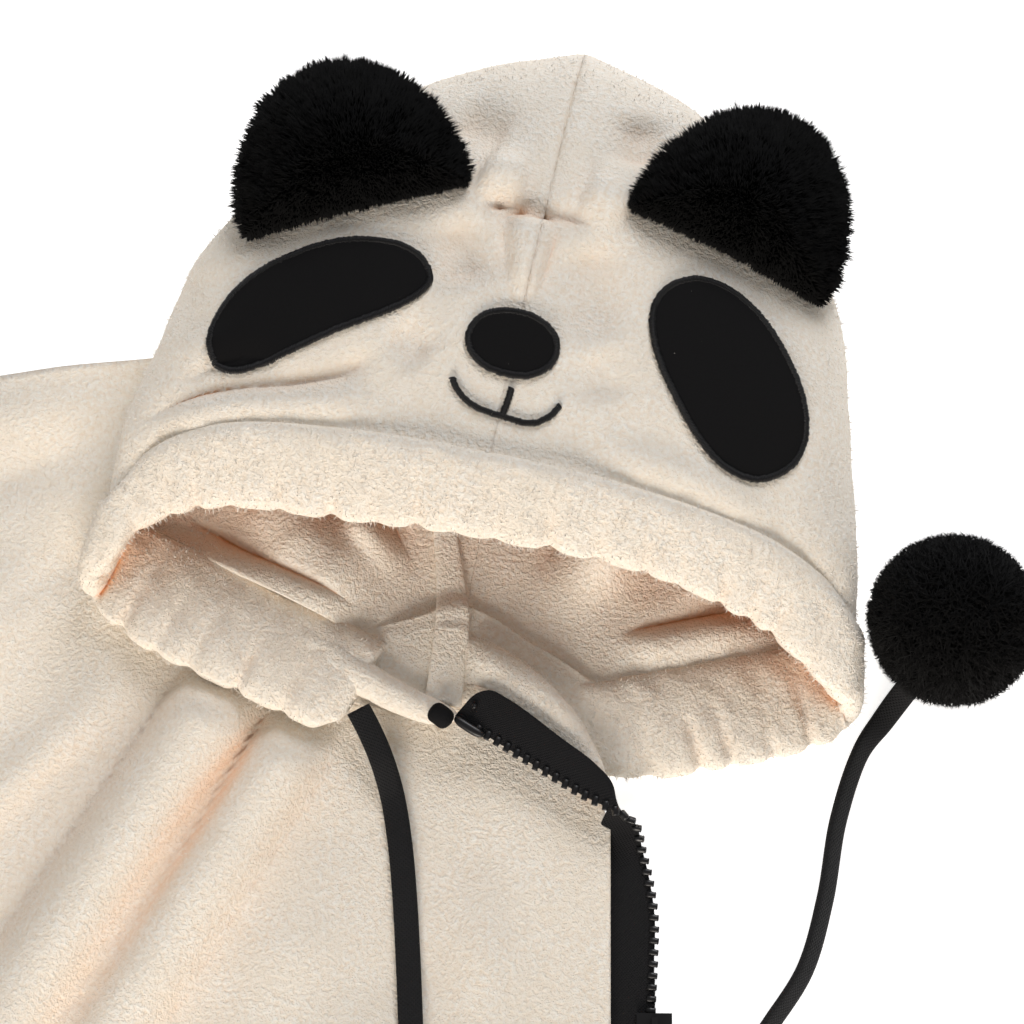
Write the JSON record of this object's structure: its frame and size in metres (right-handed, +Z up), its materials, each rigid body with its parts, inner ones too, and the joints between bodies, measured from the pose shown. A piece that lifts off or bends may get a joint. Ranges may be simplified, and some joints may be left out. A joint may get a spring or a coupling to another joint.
{
  "type": "panda hooded cape",
  "caption": "Child's fleece cape folded in half, its stuffed-ear hood with an appliqued panda face lying face up, with a zip front and a pompom draw cord.",
  "frame": {"origin": "centre of the garment's bounding box without its cords and pompoms, on the surface it lies on", "axes": "+X to the wearer's left, +Y from the hem towards the crown of the hood, +Z up from the surface"},
  "size_m": [0.724, 0.7762, 0.0614],
  "materials": {
    "fleece": "cream coral fleece with a short soft nap",
    "ear_plush": "black long-pile plush",
    "applique": "black short-pile fleece with a satin-stitched edge",
    "zip_tape": "black woven polyester tape",
    "zip_plastic": "black moulded acetal",
    "cord": "black flat braided cord",
    "pompom": "black trimmed yarn"
  },
  "bodies": {
    "garment": {"cape_left": "fleece", "cape_right": "fleece", "hood_right": "fleece", "hood_left": "fleece", "hood_casing": "fleece", "eye_patch_right": "applique", "eye_patch_left": "applique", "nose": "applique", "ear_right": "ear_plush", "ear_left": "ear_plush", "zip_tape_right": "zip_tape", "zip_tape_left": "zip_tape", "zip_slider": "zip_plastic", "cord_right": "cord", "cord_left": "cord", "pompom_right": "pompom", "pompom_left": "pompom"},
    "pull": {"zip_pull": "zip_plastic"}
  },
  "joints": [
    {"name": "pull_hinge", "type": "hinge", "parent": "garment", "child": "pull", "pos_m": [0.2684, 0.0909, 0.0098], "axis": [-0.9796, -0.2011, 0], "range_deg": [0, 160]}
  ]
}
